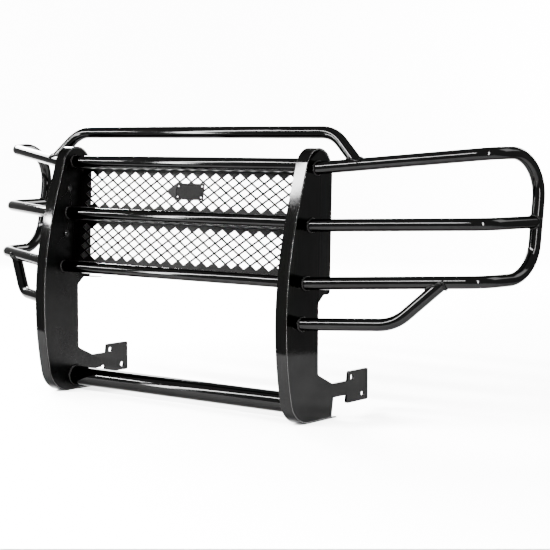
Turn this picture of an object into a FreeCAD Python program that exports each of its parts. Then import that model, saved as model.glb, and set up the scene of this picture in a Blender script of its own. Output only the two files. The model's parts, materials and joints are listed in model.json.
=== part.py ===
"""Front grille guard for a full-size pickup truck.

Frame: X across the truck, +X on the right when looking at the guard from in front of it,
+Y back towards the truck, +Z up. The origin is the middle of the footprint, on the plane
that the two uprights stand on. All sizes are in millimetres.
"""
import FreeCAD, Part
import math
import os

from FreeCAD import Vector

os.makedirs("parts", exist_ok=True)

# ---------------------------------------------------------------- driving dimensions
# Uprights
UPRIGHT_SPACING = 1016.0      # centre to centre, 40 in
UPRIGHT_WIDTH = 40.0          # across the front band
BAND_THICKNESS = 4.0
PLATE_THICKNESS = 4.0
PLATE_INSET = 1.0             # side plates sit this far inside the band's edges

DOME_CENTRE_Y = 36.5          # all Y values here are measured from the middle crossbar
DOME_CENTRE_Z = 757.0
DOME_RADIUS = 63.0
BULGE_CENTRE_Z = 288.0        # height where the front is furthest forward
BULGE_FRONT_Y = -126.0
BULGE_RADIUS = 1050.0
BULGE_TOP_ANGLE = 11.5        # degrees from vertical where the lower curve hands over
UPPER_CURVE_RADIUS = 1400.0
TOE_RADIUS = 88.0
SOLE_Z = -4.0
BAND_HEEL_Y = 128.0           # the band's end under the foot

SPINE_TOP_Y = 50.0            # rear edge of the side plates
SPINE_BOTTOM_Y = 36.5
SPINE_TOP_Z = 744.0
SPINE_BOTTOM_Z = 350.0
SPINE_FOOT = (35.5, 138.0)    # Y, Z where the spine turns into the heel
SPINE_FOOT_RADIUS = 10.0
HEEL_TOP = (117.0, 99.0)
HEEL_SIDE = (115.0, 57.0)
HEEL_BOTTOM_Y = 105.0
EAR_TOP = (137.0, 87.0)       # the inner plate's ear reaches behind the outer plate
EAR_CORNER = (145.0, 79.0)
EAR_BOTTOM = (145.0, 57.0)

# Rear channel of each upright, which carries the mesh panels
CHANNEL_WALL = 3.0
CHANNEL_TOP = (110.5, 751.5)
CHANNEL_BOTTOM = (99.5, 380.0)
CHANNEL_BOTTOM_RADIUS = 5.0
CHANNEL_LIP_Y = 72.0
CHANNEL_FRONT_TOP_Y = -14.0
CHANNEL_FRONT_BOTTOM_Y = -40.0

# Tubes
TUBE_OD = 38.1                # 1 1/2 in
TUBE_WALL = 3.0
PIPE_OD = 63.5                # 2 1/2 in
PIPE_WALL = 3.4

UPPER_BAR = (29.0, 770.0)     # Y, Z of each cross tube's axis
MIDDLE_BAR = (0.0, 598.0)
LOWER_BAR = (-25.4, 419.1)
CROSS_PIPE = (21.5, 44.6)

# Wings: where each tube leaves the upright, and how much it climbs per mm outwards
WING_TOP = (29.0, 760.0, 0.087)
WING_MIDDLE = (0.0, 590.5, 0.020)
WING_BOTTOM = (-25.4, 419.1, 0.030)
WING_BRACE = (-46.9, 299.4, 0.022)
WING_SWEEP = 23.1             # degrees back from straight across
WING_WRAP = 80.4              # the same for the part beside the fender
WING_LENGTH = 529.3           # level run from the upright to the fender bend
WRAP_LENGTH = 214.8           # from there to the rear post
BRACE_LEVEL_RUN = 277.0
BRACE_TOP_RUN = 410.0         # where the brace meets the wing's bottom leg
FENDER_BEND_RADIUS = 100.0
POST_BEND_RADIUS = 122.0
BRACE_BEND_RADIUS = 120.0

# Top hoop
HOOP_HALF_WIDTH = 537.0
HOOP_BAR = (99.8, 866.3)
HOOP_FOOT_RUN = 124.6         # along the wing's top leg
HOOP_BEND_RADIUS = 110.0

# Mesh panels, each parallel to the plane through the two bars it hangs between
SHEET = 2.5
MESH_SETBACK = 42.5           # the sheet's front, behind the bars' axes
MESH_PITCH_X = 49.6
MESH_PITCH_Z = 31.8
STRAND_WIDTH = 5.8
MESH_ROWS = 4
MESH_COLUMNS = 9              # full columns each side of the middle one
FOLD_RADIUS = 4.0
FLANGE_DEPTH = 30.0           # side flanges, folded back along the uprights
FLANGE_NOTCH = 7.0
CLOSED_FIELD_X = (-90.0, 40.0)   # unpunched field behind the name plate and to its left

# Name plate, left blank
NAME_PLATE_X = 117.0
NAME_PLATE_Z = 53.0
NAME_PLATE_DEPTH = 3.0
NAME_PLATE_CORNER = 5.0
NAME_PLATE_RIM = 3.0
NAME_PLATE_RECESS = 0.8
RIVET_HEAD_RADIUS = 2.8
RIVET_HEAD_HEIGHT = 1.4
RIVET_RADIUS = 1.6
RIVET_INSET = 9.0

# Frame brackets
BRACKET_THICKNESS = 8.0
ARM_TOP_Z = 101.0
ARM_BOTTOM_Z = 57.0
ARM_ROOT_Y = 45.0
PAD_TOP = (198.0, 129.5)
PAD_BOTTOM = (187.0, 30.0)
PAD_REAR_Y = 303.0
PAD_CORNER = 7.0
BOLT_CENTRE = (246.0, 80.0)
BOLT_CIRCLE = 82.0            # two holes, one above in front, one below behind
BOLT_HOLE = 17.5              # clearance for M16

# Support tabs, welded under the feet of the rear channels
TAB_REACH = 54.0              # past the upright's inner face
TAB_FRONT_Y = 70.0
TAB_DEPTH = 25.0
TAB_THICKNESS = 3.0

# Grille bolts: M10 with flanged round heads
BOLT_RADIUS = 5.0
BOLT_HOLE_RADIUS = 5.4
FLANGE_RADIUS = 12.0
FLANGE_HEIGHT = 2.0
HEAD_RADIUS = 8.5
HEAD_HEIGHT = 6.5
HEAD_DOME = 2.0
NUT_ACROSS_FLATS = 17.0
NUT_HEIGHT = 8.0
SPACER_RADIUS = 8.5
FRONT_BOLTS = ((-1.5, 680.0), (-17.7, 529.0))
REAR_BOLTS = ((70.8, 678.0), (50.5, 529.0))

# ---------------------------------------------------------------- derived places
UPRIGHT_X = UPRIGHT_SPACING / 2
PLATE_OUTER_X = UPRIGHT_X + UPRIGHT_WIDTH / 2 - PLATE_INSET
PLATE_INNER_X = UPRIGHT_X - UPRIGHT_WIDTH / 2 + PLATE_INSET
CHANNEL_OUTER_X = PLATE_OUTER_X - PLATE_THICKNESS
CHANNEL_INNER_X = PLATE_INNER_X + PLATE_THICKNESS
TUBE_RADIUS = TUBE_OD / 2
SWEEP = math.radians(WING_SWEEP)
WRAP = math.radians(WING_WRAP)
TRIM_BLOCK = 2000.0           # size of the block that trims tube ends
OVERRUN = 60.0                # tubes are drawn this far too long, then trimmed
PAST = 1.0                    # cutters run this far past the faces they open
PUNCH_DEPTH = 3 * SHEET       # from one thickness in front of the sheet to one behind it
SAME_PLACE = 0.1              # edges this close to a wanted place are taken to be there
TOLERANCE = 0.001


# ---------------------------------------------------------------- helpers
def yz(y, z, x=0.0):
    """A point given by its depth and height."""
    return Vector(x, y, z)


def line(a, b):
    return Part.LineSegment(a, b).toShape()


def arc(centre_y, centre_z, radius, start, end):
    """Arc in the YZ plane. Angles in radians, 0 towards -Y, a quarter turn towards +Z."""
    points = []
    for angle in (start, (start + end) / 2, end):
        points.append(yz(centre_y - radius * math.cos(angle), centre_z + radius * math.sin(angle)))
    return Part.Arc(*points).toShape()


def slab(outline, x_low, x_high):
    """Flat plate: a closed YZ outline made thick from x_low to x_high."""
    face = Part.Face(outline)
    solid = face.extrude(Vector(x_high - x_low, 0, 0))
    solid.translate(Vector(x_low, 0, 0))
    return solid


def polygon(points):
    corners = [yz(*point) for point in points]
    return Part.makePolygon(corners + corners[:1])


def round_corners(solid, places, radius):
    """Round the edges along X that pass through the given YZ places."""
    chosen = []
    for edge in solid.Edges:
        low, high = edge.BoundBox.XMin, edge.BoundBox.XMax
        middle = edge.BoundBox.Center
        along_x = abs(edge.Length - (high - low)) < TOLERANCE
        if along_x and any(math.hypot(middle.y - y, middle.z - z) < SAME_PLACE for y, z in places):
            chosen.append(edge)
    return solid.makeFillet(radius, chosen)


def bent_path(points, radii):
    """Wire of straight runs joined by tangent arcs, one radius for each inner point."""
    edges = []
    start = points[0]
    for before, corner, after, radius in zip(points, points[1:], points[2:], radii):
        arriving = (corner - before).normalize()
        leaving = (after - corner).normalize()
        half_turn = arriving.getAngle(leaving) / 2
        tangent = radius * math.tan(half_turn)
        inward = (leaving - arriving).normalize()
        arc_start = corner - arriving * tangent
        arc_end = corner + leaving * tangent
        arc_middle = corner + inward * (radius / math.cos(half_turn) - radius)
        edges.append(line(start, arc_start))
        edges.append(Part.Arc(arc_start, arc_middle, arc_end).toShape())
        start = arc_end
    edges.append(line(start, points[-1]))
    return Part.Wire(edges)


def rod(points, radii, radius):
    """Solid round bar along a bent path."""
    path = bent_path(points, radii)
    along = (points[1] - points[0]).normalize()
    ring = Part.Wire(Part.makeCircle(radius, points[0], along))
    return path.makePipeShell([ring], True, False)


def tube(points, radii, outer_diameter, wall):
    """Hollow tube and, for trimming its neighbours, the same tube filled in."""
    filled = rod(points, radii, outer_diameter / 2)
    bore = rod(points, radii, outer_diameter / 2 - wall)
    return filled.cut(bore), filled


def outboard_of(x):
    """Block that holds everything further out than x on the right side."""
    block = Part.makeBox(TRIM_BLOCK, TRIM_BLOCK, TRIM_BLOCK)
    block.translate(Vector(x, -TRIM_BLOCK / 2, -TRIM_BLOCK / 2))
    return block


def mirrored(solid):
    return solid.mirror(Vector(0, 0, 0), Vector(1, 0, 0))


nodes = {}


def add_pair(name, right_side):
    """Store a right-hand piece and its mirror image."""
    nodes["right_" + name] = right_side
    nodes["left_" + name] = mirrored(right_side)


# ---------------------------------------------------------------- uprights
def front_edges(inset):
    """The upright's front, from under the foot to the back of the dome, moved inwards."""
    bulge_y = BULGE_FRONT_Y + BULGE_RADIUS
    toe_z = SOLE_Z + TOE_RADIUS
    toe_angle = -math.asin((BULGE_CENTRE_Z - toe_z) / (BULGE_RADIUS - TOE_RADIUS))
    toe_y = bulge_y - (BULGE_RADIUS - TOE_RADIUS) * math.cos(toe_angle)
    hand_over = math.radians(BULGE_TOP_ANGLE)
    upper_y = bulge_y + (UPPER_CURVE_RADIUS - BULGE_RADIUS) * math.cos(hand_over)
    upper_z = BULGE_CENTRE_Z - (UPPER_CURVE_RADIUS - BULGE_RADIUS) * math.sin(hand_over)
    # straight run that touches both the upper curve and the dome
    across = upper_y - DOME_CENTRE_Y
    rise = DOME_CENTRE_Z - upper_z
    apart = math.hypot(across, rise)
    lean = math.atan2(rise, across) - math.acos((UPPER_CURVE_RADIUS - DOME_RADIUS) / apart)
    toe = arc(toe_y, toe_z, TOE_RADIUS - inset, -math.pi / 2, toe_angle)
    bulge = arc(bulge_y, BULGE_CENTRE_Z, BULGE_RADIUS - inset, toe_angle, hand_over)
    upper = arc(upper_y, upper_z, UPPER_CURVE_RADIUS - inset, hand_over, lean)
    dome = arc(DOME_CENTRE_Y, DOME_CENTRE_Z, DOME_RADIUS - inset, lean, math.pi)
    straight = line(upper.Vertexes[-1].Point, dome.Vertexes[0].Point)
    return [toe, bulge, upper, straight, dome]


def front_band():
    outside = front_edges(0.0)
    inside = front_edges(BAND_THICKNESS)
    heel_low = yz(BAND_HEEL_Y, SOLE_Z)
    heel_high = yz(BAND_HEEL_Y, SOLE_Z + BAND_THICKNESS)
    sole = line(heel_low, outside[0].Vertexes[0].Point)
    dome_end = line(outside[-1].Vertexes[-1].Point, inside[-1].Vertexes[-1].Point)
    insole = line(inside[0].Vertexes[0].Point, heel_high)
    heel = line(heel_high, heel_low)
    outline = Part.Wire([sole] + outside + [dome_end] + inside[::-1] + [insole, heel])
    half = UPRIGHT_WIDTH / 2
    return slab(outline, UPRIGHT_X - half, UPRIGHT_X + half)


def side_plate(x_low, x_high, with_ear):
    front = front_edges(BAND_THICKNESS)
    dome_back = front[-1].Vertexes[-1].Point
    foot = front[0].Vertexes[0].Point
    rear = [dome_back, yz(dome_back.y, CHANNEL_TOP[1]), yz(SPINE_TOP_Y, SPINE_TOP_Z),
            yz(SPINE_BOTTOM_Y, SPINE_BOTTOM_Z), yz(*SPINE_FOOT), yz(*HEEL_TOP)]
    if with_ear:
        rear += [yz(*EAR_TOP), yz(*EAR_CORNER), yz(*EAR_BOTTOM)]
    rear += [yz(*HEEL_SIDE), yz(HEEL_BOTTOM_Y, foot.z), foot]
    rear_edges = [line(a, b) for a, b in zip(rear, rear[1:])]
    plate = slab(Part.Wire(front + rear_edges), x_low, x_high)
    return round_corners(plate, [SPINE_FOOT], SPINE_FOOT_RADIUS)


def rear_channel():
    """Folded channel, open at the front, top and bottom: two legs joined by the rear web."""
    outline = polygon([(CHANNEL_FRONT_TOP_Y, SPINE_TOP_Z), (SPINE_TOP_Y, SPINE_TOP_Z), CHANNEL_TOP,
                       CHANNEL_BOTTOM, (CHANNEL_LIP_Y, CHANNEL_BOTTOM[1]),
                       (SPINE_BOTTOM_Y, SPINE_BOTTOM_Z), (CHANNEL_FRONT_BOTTOM_Y, SPINE_BOTTOM_Z)])
    block = slab(outline, CHANNEL_INNER_X, CHANNEL_OUTER_X)
    block = round_corners(block, [CHANNEL_BOTTOM], CHANNEL_BOTTOM_RADIUS)
    room = slab(outline, CHANNEL_INNER_X + CHANNEL_WALL, CHANNEL_OUTER_X - CHANNEL_WALL)
    room.translate(Vector(0, -CHANNEL_WALL, 0))
    below = room.copy()
    below.translate(Vector(0, 0, -2 * CHANNEL_WALL))
    return block.cut(room.fuse(below))


def drill(solid, places, x_low, x_high, radius):
    """Holes along X at the given YZ places."""
    for y, z in places:
        solid = solid.cut(Part.makeCylinder(radius, x_high - x_low, Vector(x_low, y, z), Vector(1, 0, 0)))
    return solid


def make_uprights():
    through = (PLATE_INNER_X - PAST, CHANNEL_INNER_X + CHANNEL_WALL + PAST)
    inner = side_plate(PLATE_INNER_X, CHANNEL_INNER_X, True)
    inner = drill(inner, FRONT_BOLTS, *through, BOLT_HOLE_RADIUS)
    channel = drill(rear_channel(), FRONT_BOLTS + REAR_BOLTS, *through, BOLT_HOLE_RADIUS)
    add_pair("upright_front_band", front_band())
    add_pair("upright_outer_plate", side_plate(CHANNEL_OUTER_X, PLATE_OUTER_X, False))
    add_pair("upright_inner_plate", inner)
    add_pair("upright_rear_channel", channel)


# ---------------------------------------------------------------- crossbars
def crossbar(place, outer_diameter, wall):
    y, z = place
    ends = [yz(y, z, -PLATE_INNER_X), yz(y, z, PLATE_INNER_X)]
    along = Vector(1, 0, 0)
    length = (ends[1] - ends[0]).Length
    outside = Part.makeCylinder(outer_diameter / 2, length, ends[0], along)
    inside = Part.makeCylinder(outer_diameter / 2 - wall, length, ends[0], along)
    return outside.cut(inside)


def make_crossbars():
    nodes["upper_crossbar"] = crossbar(UPPER_BAR, TUBE_OD, TUBE_WALL)
    nodes["middle_crossbar"] = crossbar(MIDDLE_BAR, TUBE_OD, TUBE_WALL)
    nodes["lower_crossbar"] = crossbar(LOWER_BAR, TUBE_OD, TUBE_WALL)
    nodes["bottom_cross_pipe"] = crossbar(CROSS_PIPE, PIPE_OD, PIPE_WALL)


# ---------------------------------------------------------------- wings and top hoop
def on_wing(leg, run):
    """Point on a wing tube's axis, run mm out from the upright's outer face."""
    y, z, climb = leg
    return Vector(PLATE_OUTER_X + run * math.cos(SWEEP), y + run * math.sin(SWEEP), z + run * climb)


def wrap_end(leg):
    """Where a wing leg's axis would meet the rear post's axis."""
    bend = on_wing(leg, WING_LENGTH)
    return bend + Vector(WRAP_LENGTH * math.cos(WRAP), WRAP_LENGTH * math.sin(WRAP), 0)


def make_wings():
    trim = outboard_of(PLATE_OUTER_X)
    top_end, bottom_end = wrap_end(WING_TOP), wrap_end(WING_BOTTOM)
    hoop_points = [on_wing(WING_TOP, -OVERRUN), on_wing(WING_TOP, WING_LENGTH), top_end, bottom_end,
                   on_wing(WING_BOTTOM, WING_LENGTH), on_wing(WING_BOTTOM, -OVERRUN)]
    bends = [FENDER_BEND_RADIUS, POST_BEND_RADIUS, POST_BEND_RADIUS, FENDER_BEND_RADIUS]
    hoop, hoop_filled = tube(hoop_points, bends, TUBE_OD, TUBE_WALL)
    add_pair("wing_hoop", hoop.common(trim))

    bar_bend = on_wing(WING_MIDDLE, WING_LENGTH)
    down = (top_end.z - bar_bend.z) / (top_end.z - bottom_end.z)
    bar_end = top_end + (bottom_end - top_end) * down
    bar_points = [on_wing(WING_MIDDLE, -OVERRUN), bar_bend, bar_end]
    bar, _ = tube(bar_points, [FENDER_BEND_RADIUS], TUBE_OD, TUBE_WALL)
    add_pair("wing_middle_bar", bar.common(trim).cut(hoop_filled))

    brace_points = [on_wing(WING_BRACE, -OVERRUN), on_wing(WING_BRACE, BRACE_LEVEL_RUN),
                    on_wing(WING_BOTTOM, BRACE_TOP_RUN)]
    brace, _ = tube(brace_points, [BRACE_BEND_RADIUS], TUBE_OD, TUBE_WALL)
    add_pair("wing_lower_brace", brace.common(trim).cut(hoop_filled))
    return hoop_filled


def make_top_hoop(wing_hoop_filled):
    bar_y, bar_z = HOOP_BAR
    foot = on_wing(WING_TOP, HOOP_FOOT_RUN)
    corner = Vector(HOOP_HALF_WIDTH, bar_y, bar_z)
    points = [Vector(-foot.x, foot.y, foot.z), Vector(-corner.x, corner.y, corner.z), corner, foot]
    hoop, _ = tube(points, [HOOP_BEND_RADIUS] * 2, TUBE_OD, TUBE_WALL)
    nodes["top_hoop"] = hoop.cut(wing_hoop_filled).cut(mirrored(wing_hoop_filled))


# ---------------------------------------------------------------- mesh panels
def block_between(low, high):
    """Box from one corner to the other."""
    size = high - low
    return Part.makeBox(size.x, size.y, size.z, low)


def bar_gap(bar_below, bar_above):
    return math.hypot(bar_above[0] - bar_below[0], bar_above[1] - bar_below[1])


def lean_between(solid, bar_below, bar_above):
    """Move a piece drawn upright, with the lower bar's axis at the origin, to where it belongs."""
    lean = math.degrees(math.atan2(bar_above[0] - bar_below[0], bar_above[1] - bar_below[1]))
    placed = solid.copy()
    placed.rotate(Vector(0, 0, 0), Vector(1, 0, 0), -lean)
    placed.translate(yz(*bar_below))
    return placed


def diamond(x, z):
    """One punched opening: a rhombus drawn in by half a strand on every side."""
    half_x, half_z = MESH_PITCH_X / 2, MESH_PITCH_Z / 2
    reach = half_x * half_z / math.hypot(half_x, half_z)
    keep = (reach - STRAND_WIDTH / 2) / reach
    start_y = MESH_SETBACK - SHEET
    corners = []
    for across, up in ((-keep, 0), (0, keep), (keep, 0), (0, -keep)):
        corners.append(Vector(x + across * half_x, start_y, z + up * half_z))
    return Part.Face(Part.makePolygon(corners + corners[:1])).extrude(Vector(0, PUNCH_DEPTH, 0))


def pattern(middle_z, with_closed_field):
    """Openings of one panel. The field behind the name plate is left unpunched."""
    openings = []
    for step in range(-2 * MESH_COLUMNS, 2 * MESH_COLUMNS + 1):
        x = step * MESH_PITCH_X / 2
        rows = MESH_ROWS - step % 2
        for row in range(rows):
            z = (row - (rows - 1) / 2) * MESH_PITCH_Z
            closed = CLOSED_FIELD_X[0] < x < CLOSED_FIELD_X[1] and abs(z) < NAME_PLATE_Z / 2
            if not (closed and with_closed_field):
                openings.append(diamond(x, middle_z + z))
    return openings


def folded_box(half_x, front_y, back_y, bottom, top, radius):
    block = block_between(Vector(-half_x, front_y, bottom), Vector(half_x, back_y, top))
    return round_corners(block, [(back_y, bottom), (back_y, top)], radius)


def panel(bar_below, bar_above, with_closed_field):
    """Punched sheet: lips folded forward onto the two bars, flanges folded back at the sides."""
    half_x = PLATE_INNER_X
    gap = bar_gap(bar_below, bar_above)
    bottom, top = TUBE_RADIUS, gap - TUBE_RADIUS
    back = MESH_SETBACK + SHEET
    sheet = folded_box(half_x, 0.0, back, bottom, top, FOLD_RADIUS)
    room = folded_box(half_x, -SHEET, MESH_SETBACK, bottom + SHEET, top - SHEET, FOLD_RADIUS - SHEET)
    sheet = sheet.cut(room)
    for side in (-1, 1):
        edges = sorted((side * half_x, side * (half_x - SHEET)))
        low = Vector(edges[0], MESH_SETBACK, bottom + FLANGE_NOTCH)
        high = Vector(edges[1], MESH_SETBACK + FLANGE_DEPTH, top - FLANGE_NOTCH)
        sheet = sheet.fuse(block_between(low, high))
    sheet = sheet.cut(Part.makeCompound(pattern(gap / 2, with_closed_field)))
    return sheet.removeSplitter()


def rivet_places():
    places = []
    for side in (-1, 1):
        for end in (-1, 1):
            places.append((side * (NAME_PLATE_X / 2 - RIVET_INSET), end * (NAME_PLATE_Z / 2 - RIVET_INSET)))
    return places


def rivet(x, z):
    """Domed head in front, shank, and a flat tail behind the sheet."""
    front = MESH_SETBACK - NAME_PLATE_DEPTH + NAME_PLATE_RECESS
    grip = MESH_SETBACK + SHEET - front
    dome_radius = (RIVET_HEAD_RADIUS ** 2 + RIVET_HEAD_HEIGHT ** 2) / (2 * RIVET_HEAD_HEIGHT)
    ball = Part.makeSphere(dome_radius, Vector(x, front - RIVET_HEAD_HEIGHT + dome_radius, z))
    front_space = block_between(Vector(x - dome_radius, front - dome_radius, z - dome_radius),
                                Vector(x + dome_radius, front, z + dome_radius))
    back = Vector(0, 1, 0)
    shank = Part.makeCylinder(RIVET_RADIUS, grip, Vector(x, front, z), back)
    tail = Part.makeCylinder(RIVET_HEAD_RADIUS, RIVET_HEAD_HEIGHT, Vector(x, front + grip, z), back)
    return ball.common(front_space).fuse([shank, tail]).removeSplitter()


def round_depth_edges(block, radius):
    """Round the four edges of a block that run front to back."""
    chosen = [edge for edge in block.Edges if abs(abs(edge.tangentAt(0).y) - 1) < TOLERANCE]
    return block.makeFillet(radius, chosen)


def name_plate():
    """Plain plate with a raised border and nothing on it."""
    half_x, half_z = NAME_PLATE_X / 2, NAME_PLATE_Z / 2
    front = MESH_SETBACK - NAME_PLATE_DEPTH
    plate = block_between(Vector(-half_x, front, -half_z), Vector(half_x, MESH_SETBACK, half_z))
    field = block_between(Vector(NAME_PLATE_RIM - half_x, front - PAST, NAME_PLATE_RIM - half_z),
                          Vector(half_x - NAME_PLATE_RIM, front + NAME_PLATE_RECESS, half_z - NAME_PLATE_RIM))
    plate = round_depth_edges(plate, NAME_PLATE_CORNER)
    return plate.cut(round_depth_edges(field, NAME_PLATE_CORNER - NAME_PLATE_RIM))


def make_mesh():
    upper = panel(MIDDLE_BAR, UPPER_BAR, True)
    lower = panel(LOWER_BAR, MIDDLE_BAR, False)
    lift = Vector(0, 0, bar_gap(MIDDLE_BAR, UPPER_BAR) / 2)
    rivets = []
    plate = name_plate()
    plate.translate(lift)
    for x, z in rivet_places():
        hole = Part.makeCylinder(RIVET_RADIUS, 2 * MESH_SETBACK, Vector(x, 0, z), Vector(0, 1, 0))
        hole.translate(lift)
        plate = plate.cut(hole)
        upper = upper.cut(hole)
        pin = rivet(x, z)
        pin.translate(lift)
        rivets.append(pin)
    nodes["name_plate"] = lean_between(plate, MIDDLE_BAR, UPPER_BAR)
    nodes["name_plate_rivets"] = lean_between(Part.makeCompound(rivets), MIDDLE_BAR, UPPER_BAR)
    flange = (-PLATE_INNER_X - PAST, PLATE_INNER_X + PAST)
    upper = lean_between(upper, MIDDLE_BAR, UPPER_BAR)
    lower = lean_between(lower, LOWER_BAR, MIDDLE_BAR)
    nodes["upper_mesh_panel"] = drill(upper, REAR_BOLTS[:1], *flange, BOLT_HOLE_RADIUS)
    nodes["lower_mesh_panel"] = drill(lower, REAR_BOLTS[1:], *flange, BOLT_HOLE_RADIUS)


# ---------------------------------------------------------------- brackets, tabs, bolts
def frame_bracket():
    """One flat plate: an arm inside the upright's foot and a pad with two bolt holes."""
    def pad_front(z):
        part_way = (z - PAD_BOTTOM[1]) / (PAD_TOP[1] - PAD_BOTTOM[1])
        return PAD_BOTTOM[0] + part_way * (PAD_TOP[0] - PAD_BOTTOM[0])

    outline = polygon([(ARM_ROOT_Y, ARM_BOTTOM_Z), (pad_front(ARM_BOTTOM_Z), ARM_BOTTOM_Z), PAD_BOTTOM,
                       (PAD_REAR_Y, PAD_BOTTOM[1]), (PAD_REAR_Y, PAD_TOP[1]), PAD_TOP,
                       (pad_front(ARM_TOP_Z), ARM_TOP_Z), (ARM_ROOT_Y, ARM_TOP_Z)])
    x_low, x_high = CHANNEL_OUTER_X - BRACKET_THICKNESS, CHANNEL_OUTER_X
    plate = slab(outline, x_low, x_high)
    pad_corners = [PAD_BOTTOM, (PAD_REAR_Y, PAD_BOTTOM[1]), (PAD_REAR_Y, PAD_TOP[1]), PAD_TOP]
    plate = round_corners(plate, pad_corners, PAD_CORNER)
    diagonal = BOLT_CIRCLE / 2 * math.sqrt(0.5)
    y, z = BOLT_CENTRE
    holes = [(y - diagonal, z + diagonal), (y + diagonal, z - diagonal)]
    return drill(plate, holes, x_low - PAST, x_high + PAST, BOLT_HOLE / 2)


def support_tab():
    low = Vector(PLATE_INNER_X - TAB_REACH, TAB_FRONT_Y, CHANNEL_BOTTOM[1] - TAB_THICKNESS)
    high = Vector(CHANNEL_OUTER_X, TAB_FRONT_Y + TAB_DEPTH, CHANNEL_BOTTOM[1])
    return block_between(low, high)


def grille_bolt(y, z, head_x, spacer):
    """Bolt along X: head on the inboard side, nut inside the rear channel."""
    outboard = Vector(1, 0, 0)
    nut_x = CHANNEL_INNER_X + CHANNEL_WALL
    flange = Part.makeCylinder(FLANGE_RADIUS, FLANGE_HEIGHT, Vector(head_x - FLANGE_HEIGHT, y, z), outboard)
    head = Part.makeCylinder(HEAD_RADIUS, HEAD_HEIGHT, Vector(head_x - HEAD_HEIGHT, y, z), outboard)
    crown = [edge for edge in head.Edges if edge.BoundBox.XMax < head_x - HEAD_HEIGHT + SAME_PLACE]
    head = head.makeFillet(HEAD_DOME, crown)
    length = nut_x + NUT_HEIGHT - head_x
    shank = Part.makeCylinder(BOLT_RADIUS, length, Vector(head_x, y, z), outboard)
    pieces = [flange.fuse([head, shank]).removeSplitter()]
    corner = NUT_ACROSS_FLATS / math.sqrt(3)
    hexagon = []
    for side in range(6):
        angle = math.radians(60 * side)
        hexagon.append(Vector(nut_x, y + corner * math.cos(angle), z + corner * math.sin(angle)))
    nut = Part.Face(Part.makePolygon(hexagon + hexagon[:1])).extrude(outboard * NUT_HEIGHT)
    pieces.append(nut.cut(Part.makeCylinder(BOLT_RADIUS, NUT_HEIGHT, Vector(nut_x, y, z), outboard)))
    if spacer:
        gap = CHANNEL_INNER_X - PLATE_INNER_X
        ring = Part.makeCylinder(SPACER_RADIUS, gap, Vector(PLATE_INNER_X, y, z), outboard)
        bore = Part.makeCylinder(BOLT_RADIUS, gap, Vector(PLATE_INNER_X, y, z), outboard)
        pieces.append(ring.cut(bore))
    return pieces


def make_small_parts():
    add_pair("frame_bracket", frame_bracket())
    add_pair("grille_support_tab", support_tab())
    pieces = []
    for y, z in FRONT_BOLTS:
        pieces += grille_bolt(y, z, PLATE_INNER_X, False)
    for y, z in REAR_BOLTS:
        pieces += grille_bolt(y, z, PLATE_INNER_X - SHEET, True)
    add_pair("grille_bolts", Part.makeCompound(pieces))


# ---------------------------------------------------------------- build and export
make_uprights()
make_crossbars()
make_top_hoop(make_wings())
make_mesh()
make_small_parts()

# everything above is measured from the middle crossbar; the origin belongs under the feet,
# half way between the foremost face and the back of the wings
front_y = min(shape.optimalBoundingBox().YMin for shape in nodes.values())
back_y = max(shape.optimalBoundingBox().YMax for shape in nodes.values())
for name, shape in nodes.items():
    shape.translate(Vector(0, -(front_y + back_y) / 2, -SOLE_Z))
    shape.exportStep("parts/" + name + ".step")
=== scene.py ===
"""Looks for the front grille guard: coat, welds, blank plate, floor, lights and camera."""

import json
import math
import random

import bmesh
import bpy
from mathutils import Matrix, Vector
from mathutils.bvhtree import BVHTree


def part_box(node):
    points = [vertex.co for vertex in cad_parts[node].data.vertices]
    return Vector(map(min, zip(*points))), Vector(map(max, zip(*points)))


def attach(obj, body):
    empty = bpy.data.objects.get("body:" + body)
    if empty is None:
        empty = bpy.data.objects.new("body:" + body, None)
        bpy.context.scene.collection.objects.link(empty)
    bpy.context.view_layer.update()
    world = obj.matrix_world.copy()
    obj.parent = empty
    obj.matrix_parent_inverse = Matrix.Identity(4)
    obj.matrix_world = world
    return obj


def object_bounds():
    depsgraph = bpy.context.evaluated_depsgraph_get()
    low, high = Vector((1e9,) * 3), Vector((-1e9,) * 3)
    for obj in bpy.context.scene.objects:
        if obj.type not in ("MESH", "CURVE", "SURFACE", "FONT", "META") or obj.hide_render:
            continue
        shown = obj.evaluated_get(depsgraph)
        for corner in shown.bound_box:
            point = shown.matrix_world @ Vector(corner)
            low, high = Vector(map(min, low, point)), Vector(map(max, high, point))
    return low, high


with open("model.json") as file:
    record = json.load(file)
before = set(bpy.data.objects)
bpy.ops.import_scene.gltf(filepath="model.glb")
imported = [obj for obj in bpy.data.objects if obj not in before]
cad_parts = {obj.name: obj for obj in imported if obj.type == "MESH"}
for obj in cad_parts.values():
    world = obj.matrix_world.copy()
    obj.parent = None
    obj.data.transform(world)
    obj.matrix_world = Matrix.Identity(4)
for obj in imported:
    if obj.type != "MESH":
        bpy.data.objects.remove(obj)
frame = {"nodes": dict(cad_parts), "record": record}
LOW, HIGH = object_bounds()
NODES = frame["nodes"]
rng = random.Random(41)


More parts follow.
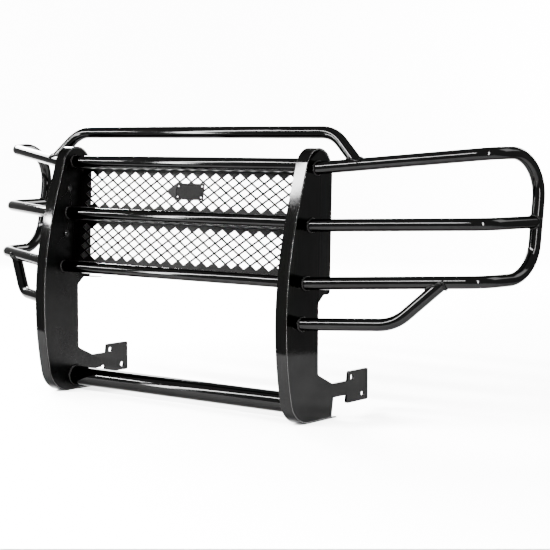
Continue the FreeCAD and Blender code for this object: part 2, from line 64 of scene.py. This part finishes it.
# ---------------------------------------------------------------- materials
class Shader:
    """A Principled material with a few procedural layers, all in the row frame's metres."""

    def __init__(self, name):
        self.material = bpy.data.materials.new(name)
        self.material.use_nodes = True
        self.tree = self.material.node_tree
        self.bsdf = self.tree.nodes["Principled BSDF"]
        self.coords = self.tree.nodes.new("ShaderNodeTexCoord")
        self.height = None

    def node(self, kind, **values):
        made = self.tree.nodes.new(kind)
        for key, value in values.items():
            made.inputs[key.replace("_", " ")].default_value = value
        return made

    def link(self, a, a_out, b, b_in):
        self.tree.links.new(a.outputs[a_out], b.inputs[b_in])

    def noise(self, scale, detail=2.0, rough=0.5):
        made = self.node("ShaderNodeTexNoise", Scale=scale, Detail=detail, Roughness=rough)
        self.link(self.coords, "Object", made, "Vector")
        return made

    def ramp(self, source, stops):
        made = self.tree.nodes.new("ShaderNodeValToRGB")
        elements = made.color_ramp.elements
        while len(elements) < len(stops):
            elements.new(0.5)
        for element, (place, colour) in zip(elements, stops):
            element.position = place
            shade = colour if isinstance(colour, tuple) else (colour,) * 3
            element.color = (*shade, 1.0)
        self.tree.links.new(source, made.inputs["Fac"])
        return made

    def bump(self, source, strength, distance):
        made = self.node("ShaderNodeBump", Strength=strength, Distance=distance)
        self.tree.links.new(source, made.inputs["Height"])
        if self.height is not None:
            self.link(self.height, "Normal", made, "Normal")
        self.height = made
        self.link(made, "Normal", self.bsdf, "Normal")

    def set(self, **values):
        for key, value in values.items():
            self.bsdf.inputs[key.replace("_", " ")].default_value = value


DUST_SCALE = 7.0         # noise scales, in cycles per metre
GLOSS_SCALE = 11.0
PEEL_SCALE = 420.0
WAVE_SCALE = 38.0
PEEL_HEIGHT = 0.0004     # metres
WAVE_HEIGHT = 0.0012
EDGE_TINT = 0.5          # how much of the reflection is left at a glancing angle


def black_coat(name, gleam, rough_low, rough_high, peel):
    """Black powder coat: slow changes of gleam and gloss, orange peel over long waves."""
    s = Shader(name)
    dust = s.noise(DUST_SCALE, 5.0, 0.6)
    gleams = ((0.3, gleam * 0.85), (0.8, gleam * 1.3))
    s.link(s.ramp(dust.outputs["Fac"], gleams), "Color", s.bsdf, "Base Color")
    gloss = s.noise(GLOSS_SCALE, 4.0, 0.65)
    roughs = ((0.3, rough_low), (0.75, rough_high))
    s.link(s.ramp(gloss.outputs["Fac"], roughs), "Color", s.bsdf, "Roughness")
    s.bump(s.noise(PEEL_SCALE, 2.0).outputs["Fac"], peel, PEEL_HEIGHT)
    s.bump(s.noise(WAVE_SCALE, 1.0).outputs["Fac"], peel * 0.6, WAVE_HEIGHT)
    s.set(Metallic=1.0, Specular_Tint=(EDGE_TINT, EDGE_TINT, EDGE_TINT, 1.0))
    return s.material


# gleam is how much light the coat sends back straight on
COAT = black_coat("gloss_black_coat", 0.005, 0.04, 0.1, 0.06)
TUBE = black_coat("gloss_black_tube", 0.005, 0.03, 0.08, 0.06)
MESH_COAT = black_coat("black_mesh_coat", 0.0015, 0.3, 0.4, 0.03)
FASTENER = black_coat("black_fastener", 0.02, 0.12, 0.25, 0.15)
WELD = black_coat("weld_coat", 0.003, 0.2, 0.3, 0.1)
# the seams get a brighter copy of the same black coat, seven times its gleam, so they show as a thin
# light line: a painted highlight
SEAM_PAINTED_HIGHLIGHT = black_coat("seam_coat_painted_highlight", 0.035, 0.15, 0.25, 0.02)
INNER_COAT = black_coat("inner_plate_coat", 0.005, 0.26, 0.34, 0.06)
PLATE = black_coat("name_plate_black", 0.001, 0.34, 0.42, 0.03)


def bright_metal(name):
    s = Shader(name)
    s.set(Metallic=1.0)
    tone = s.noise(600.0, 3.0)
    s.link(s.ramp(tone.outputs["Fac"], ((0.3, 0.45), (0.7, 0.7))), "Color", s.bsdf, "Base Color")
    s.link(s.ramp(tone.outputs["Fac"], ((0.2, 0.2), (0.8, 0.4))), "Color", s.bsdf, "Roughness")
    s.bump(tone.outputs["Fac"], 0.1, 0.0003)
    return s.material


RIVET = bright_metal("bright_rivet")

SLOTS = {entry["node"]: entry["material_slot"] for entry in frame["record"]["subparts"]}
LOOKS = {"gloss_black_coat": COAT, "gloss_black_tube": TUBE, "black_mesh": MESH_COAT,
         "plate_black": PLATE, "bright_rivet": RIVET, "black_fastener": FASTENER}
SATIN_NODES = ("inner_plate", "rear_channel")
BEVELS = {"plate": 0.0006, "band": 0.0008, "bracket": 0.0008}    # metres, by word in the node's name
BEVEL_ANGLE = math.radians(40)       # edges sharper than this are eased
SPLIT_ANGLE = math.radians(35)       # on unbevelled pieces, edges sharper than this stay crisp
SAME_POINT = 0.00001


def dress(node, material, bevel):
    """Give a CAD node its material, smooth curves and slightly eased edges."""
    obj = NODES[node]
    mesh = obj.data
    mesh.materials.clear()
    mesh.materials.append(material)
    for name in ("custom_normal", "sharp_face", "sharp_edge"):
        if name in mesh.attributes:
            mesh.attributes.remove(mesh.attributes[name])
    for polygon in mesh.polygons:
        polygon.use_smooth = True
        polygon.material_index = 0
    weld = obj.modifiers.new("weld", "WELD")
    weld.merge_threshold = SAME_POINT
    if bevel:
        ease = obj.modifiers.new("ease", "BEVEL")
        ease.width = bevel
        ease.segments = 2
        ease.limit_method = "ANGLE"
        ease.angle_limit = BEVEL_ANGLE
        even = obj.modifiers.new("even", "WEIGHTED_NORMAL")
        even.weight = 80
    else:
        sharp = obj.modifiers.new("sharp", "EDGE_SPLIT")
        sharp.split_angle = SPLIT_ANGLE


for node in NODES:
    eased = next((width for word, width in BEVELS.items() if word in node), 0.0)
    satin = any(word in node for word in SATIN_NODES)
    dress(node, INNER_COAT if satin else LOOKS[SLOTS[node]], eased)


# ---------------------------------------------------------------- weld beads
TUBE_BEAD = 0.005        # bead radii, in metres
PIPE_BEAD = 0.006
SEAM_BEAD = 0.0014
RIPPLE_GAP = 0.0026      # one ripple of the bead for every 2.6 mm
RINGS_PER_RIPPLE = 4
SIDES = 10
WANDER_RINGS = 12        # rings between two random changes of the bead's width
TAPER_RINGS = 8          # rings over which an open bead's ends narrow
TAPER_START = 0.35
CREASE = math.radians(32)            # edges sharper than this can carry a bead
JOINED = 0.00002                     # vertices this close are the same one
CLOSED_GAP = 0.000001                # a run whose ends are this close is a closed one
ONE_END = 0.02                       # edge loops this close belong to the same end of a tube
SEAM_REACH = 0.0001                  # how far a seam's vertices may be from the band
ON_FACE = 0.00001


def merged(node):
    """A CAD node's mesh as a bmesh with its split vertices joined."""
    bm = bmesh.new()
    bm.from_mesh(NODES[node].data)
    bmesh.ops.remove_doubles(bm, verts=bm.verts, dist=JOINED)
    return bm


def chains(edges):
    """Join edges end to end into ordered runs of points; a closed run repeats its first point."""
    left = set(edges)
    near = {}
    for edge in edges:
        for vert in edge.verts:
            near.setdefault(vert, []).append(edge)
    starts = sorted((v for v in near if len(near[v]) == 1), key=lambda v: v.index)
    starts += sorted(near, key=lambda v: v.index)
    runs = []
    for start in starts:
        free = [edge for edge in near[start] if edge in left]
        if not free:
            continue
        run, vert = [start.co.copy()], start
        while free:
            edge = free[0]
            left.discard(edge)
            vert = edge.other_vert(vert)
            run.append(vert.co.copy())
            free = [edge for edge in near[vert] if edge in left]
        runs.append(run)
    return runs


def run_length(run):
    return sum((b - a).length for a, b in zip(run, run[1:]))


def is_closed(run):
    return (run[0] - run[-1]).length < CLOSED_GAP


def sharp_runs(node, keep=lambda edge: True):
    """The node's sharp edges as ordered runs, longest first."""
    bm = merged(node)
    bm.verts.index_update()
    between = [edge for edge in bm.edges if len(edge.link_faces) == 2]
    edges = [edge for edge in between if edge.calc_face_angle(0.0) > CREASE and keep(edge)]
    runs = sorted(chains(edges), key=run_length, reverse=True)
    bm.free()
    return runs


def evenly(run, gap):
    """The same run with points a fixed gap apart."""
    total = run_length(run)
    count = max(2, round(total / gap))
    points, walked, index = [], 0.0, 0
    for step in range(count + 1):
        goal = total * step / count
        while index < len(run) - 2 and walked + (run[index + 1] - run[index]).length < goal:
            walked += (run[index + 1] - run[index]).length
            index += 1
        span = (run[index + 1] - run[index]).length
        part = min(1.0, (goal - walked) / span) if span else 0.0
        points.append(run[index].lerp(run[index + 1], part))
    return points


def inside_box(point):
    """The same point, held inside the box round the CAD."""
    return Vector([max(low, min(high, value)) for low, value, high in zip(LOW, point, HIGH)])


def bead(bm, run, radius):
    """A rippled bead laid along a run of points."""
    closed = is_closed(run)
    points = evenly(run, RIPPLE_GAP / RINGS_PER_RIPPLE)
    if closed:
        points.pop()
    count = len(points)
    wander = [rng.uniform(-1, 1) for _ in range(count // WANDER_RINGS + 3)]
    side = None
    rings = []
    for index, point in enumerate(points):
        if closed:
            along = (points[(index + 1) % count] - points[index - 1]).normalized()
        else:
            along = (points[min(index + 1, count - 1)] - points[max(index - 1, 0)]).normalized()
        if side is None:
            side = along.orthogonal().normalized()
        side = (side - along * side.dot(along)).normalized()
        across = along.cross(side)
        slot, part = divmod(index / WANDER_RINGS, 1.0)
        here = wander[int(slot)] * (1 - part) + wander[int(slot) + 1] * part
        if closed and index > count - WANDER_RINGS:
            here = here + (wander[0] - here) * (index - (count - WANDER_RINGS)) / WANDER_RINGS
        taper = 1.0
        if not closed:
            taper = min(1.0, TAPER_START + min(index, count - 1 - index) / TAPER_RINGS)
        ring = []
        for turn in range(SIDES):
            angle = 2 * math.pi * turn / SIDES
            ripple = abs(math.sin(math.pi * index / RINGS_PER_RIPPLE + 0.5 * math.cos(angle)))
            reach = radius * taper * (0.9 + 0.16 * ripple + 0.08 * here)
            place = point + side * math.cos(angle) * reach + across * math.sin(angle) * reach
            ring.append(bm.verts.new(inside_box(place)))
        rings.append(ring)
    pairs = list(zip(rings, rings[1:]))
    if closed:
        pairs.append((rings[-1], rings[0]))
    for a, b in pairs:
        shift = 0
        if a is rings[-1]:
            shift = min(range(SIDES), key=lambda k: (b[k].co - a[0].co).length)
        for turn in range(SIDES):
            following = (turn + 1) % SIDES
            facing, beyond = b[(turn + shift) % SIDES], b[(following + shift) % SIDES]
            bm.faces.new((a[turn], a[following], beyond, facing))
    if not closed:
        bm.faces.new(rings[0][::-1])
        bm.faces.new(rings[-1])


def piece(name, bm, material):
    bmesh.ops.recalc_face_normals(bm, faces=bm.faces)
    mesh = bpy.data.meshes.new(name)
    bm.to_mesh(mesh)
    bm.free()
    mesh.materials.append(material)
    for polygon in mesh.polygons:
        polygon.use_smooth = True
    obj = bpy.data.objects.new(name, mesh)
    bpy.context.collection.objects.link(obj)
    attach(obj, "root")
    return obj


def tube_end_welds(name, nodes, radius):
    """A bead round the outside of every welded end of some tubes."""
    bm = bmesh.new()
    for node in nodes:
        runs = [run for run in sharp_runs(node) if is_closed(run)]
        ends = {}
        for run in runs:
            middle = sum(run, Vector()) / len(run)
            twin = next((key for key in ends if (Vector(key) - middle).length < ONE_END), None)
            if twin is None:
                ends[tuple(middle)] = run
        for run in ends.values():
            bead(bm, run, radius)
    piece(name, bm, WELD)


tube_end_welds("crossbar_welds", ("upper_crossbar", "middle_crossbar", "lower_crossbar"), TUBE_BEAD)
tube_end_welds("bottom_pipe_welds", ("bottom_cross_pipe",), PIPE_BEAD)
tube_end_welds("top_hoop_welds", ("top_hoop",), TUBE_BEAD)
for side in ("left", "right"):
    wing = [side + tail for tail in ("_wing_hoop", "_wing_middle_bar", "_wing_lower_brace")]
    tube_end_welds(side + "_wing_welds", wing, TUBE_BEAD)


def touches(tree, point, reach):
    found = tree.find_nearest(point, reach)
    return found[0] is not None


def seam_welds(side):
    """The long seams where each side plate meets the front band, dressed nearly flush, in the
    brighter seam coat that paints a highlight line along them.
    """
    band = merged(side + "_upright_front_band")
    tree = BVHTree.FromBMesh(band)
    bm = bmesh.new()
    for plate in ("_upright_outer_plate", "_upright_inner_plate"):
        low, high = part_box(side + plate)
        outer = max(abs(low.x), abs(high.x))
        inner = min(abs(low.x), abs(high.x))
        face_x = outer if "outer" in plate else inner

        def on_seam(edge):
            flat = all(abs(abs(vert.co.x) - face_x) < ON_FACE for vert in edge.verts)
            return flat and all(touches(tree, vert.co, SEAM_REACH) for vert in edge.verts)

        runs = sharp_runs(side + plate, on_seam)
        bead(bm, runs[0], SEAM_BEAD)
    band.free()
    piece(side + "_upright_seam_welds", bm, SEAM_PAINTED_HIGHLIGHT)


for side in ("left", "right"):
    seam_welds(side)


# ---------------------------------------------------------------- stage
# how far back, left and right each row of the flat floor is, as the camera sees it; the front
# left is cut away so that the tubes stay dark
FLOOR_ROWS = ((-1.9, -0.42, 1.75), (-0.646, -0.635, 1.75), (0.529, -2.128, 1.8), (5.6, -2.4, 2.6))
SWEEP_RADIUS = 2.4       # the curve between floor and backdrop
SWEEP_STEPS = 24
BACKDROP_TOP = 2.9


def stage_mesh(name, verts, faces, material):
    mesh = bpy.data.meshes.new(name)
    mesh.from_pydata(verts, [], faces)
    mesh.materials.append(material)
    for polygon in mesh.polygons:
        polygon.use_smooth = True
    obj = bpy.data.objects.new(name, mesh)
    bpy.context.collection.objects.link(obj)
    return obj


def studio():
    """Pale floor that curves up into a backdrop, square to the camera."""
    s = Shader("studio_white")
    tone = s.noise(1.3, 2.0)
    s.link(s.ramp(tone.outputs["Fac"], ((0.2, 0.80), (0.8, 0.84))), "Color", s.bsdf, "Base Color")
    s.set(Roughness=0.9)
    rows = list(FLOOR_ROWS)
    back, left, right = rows[-1]
    heights = [LOW.z] * len(rows)
    for step in range(1, SWEEP_STEPS + 1):
        angle = math.pi / 2 * step / SWEEP_STEPS
        rows.append((back + SWEEP_RADIUS * math.sin(angle), left, right))
        heights.append(LOW.z + SWEEP_RADIUS * (1 - math.cos(angle)))
    rows.append((back + SWEEP_RADIUS, left, right))
    heights.append(BACKDROP_TOP)
    verts, faces = [], []
    for (along, left, right), up in zip(rows, heights):
        verts += [in_studio(left, along, up), in_studio(right, along, up)]
    for step in range(len(rows) - 1):
        faces.append((2 * step, 2 * step + 1, 2 * step + 3, 2 * step + 2))
    stage_mesh("studio_floor", [tuple(v) for v in verts], faces, s.material)


def softbox(name, place, target, size, radiance):
    """Rectangular light; its power follows from how bright its face is."""
    light = bpy.data.lights.new(name, "AREA")
    light.shape = "RECTANGLE"
    light.size, light.size_y = size
    light.energy = math.pi * radiance * size[0] * size[1]
    obj = bpy.data.objects.new(name, light)
    obj.location = place
    obj.rotation_euler = (Vector(target) - Vector(place)).to_track_quat("-Z", "Y").to_euler()
    bpy.context.collection.objects.link(obj)
    return obj


# ---------------------------------------------------------------- camera
CAMERA_AZIMUTH = math.radians(38.165)
CAMERA_PITCH = math.radians(-5.065)
CAMERA_DISTANCE = 5.0
CAMERA_LENS = 103.6
SENSOR_WIDTH = 36.0
CENTRE = (LOW + HIGH) / 2
AIM = CENTRE + Vector((0.2658, -0.0041, -0.0232))


def place_camera():
    data = bpy.data.cameras.new("camera")
    data.lens = CAMERA_LENS
    data.sensor_width = SENSOR_WIDTH
    camera = bpy.data.objects.new("camera", data)
    camera.rotation_euler = (math.pi / 2 + CAMERA_PITCH, 0.0, CAMERA_AZIMUTH)
    forward = camera.rotation_euler.to_matrix() @ Vector((0, 0, -1))
    camera.location = AIM - forward * CAMERA_DISTANCE
    bpy.context.collection.objects.link(camera)
    bpy.context.scene.camera = camera


into_studio = Matrix.Rotation(CAMERA_AZIMUTH, 3, "Z")


def in_studio(right, back, up):
    """A place given by how far right, back and up it is as the camera sees it."""
    return into_studio @ Vector((right, back, up))


place_camera()
studio()

# ---------------------------------------------------------------- lights
world = bpy.data.worlds.new("world")
world.use_nodes = True
background = world.node_tree.nodes["Background"]
background.inputs["Color"].default_value = (0.8, 0.8, 0.8, 1.0)
background.inputs["Strength"].default_value = 3.0
bpy.context.scene.world = world

# strips and boxes whose reflections are the highlights on the tubes and bands
softbox("high_strip", (-0.4, -3.0, 2.66), (-0.4, 0.0, 0.75), (4.3, 0.2), 700)
softbox("tall_strip", (-2.18, -2.53, 1.5), (-0.05, -0.15, 1.5), (0.12, 2.96), 500)
softbox("right_tall_strip", (3.6, -2.0, 1.5), (0.0, -0.2, 1.5), (0.2, 2.9), 400)
softbox("left_small_box", (-3.45, -3.0, 1.85), (-0.5, -0.2, 0.6), (0.4, 0.12), 1500)
softbox("left_high_box", (-4.2, 1.5, 2.6), (-0.8, 0.0, 0.75), (3.0, 0.9), 300)
# these light the floor and the backdrop
softbox("right_front", in_studio(4.2, -0.5, 3.6), in_studio(0.0, 0.5, 0.0), (2.6, 2.6), 30)
softbox("right_back", in_studio(4.6, 4.6, 3.4), in_studio(-0.5, 7.0, 0.6), (2.4, 2.4), 170)
softbox("left_back", in_studio(-3.8, 4.2, 3.2), in_studio(-0.8, 7.6, 1.2), (2.4, 1.4), 170)
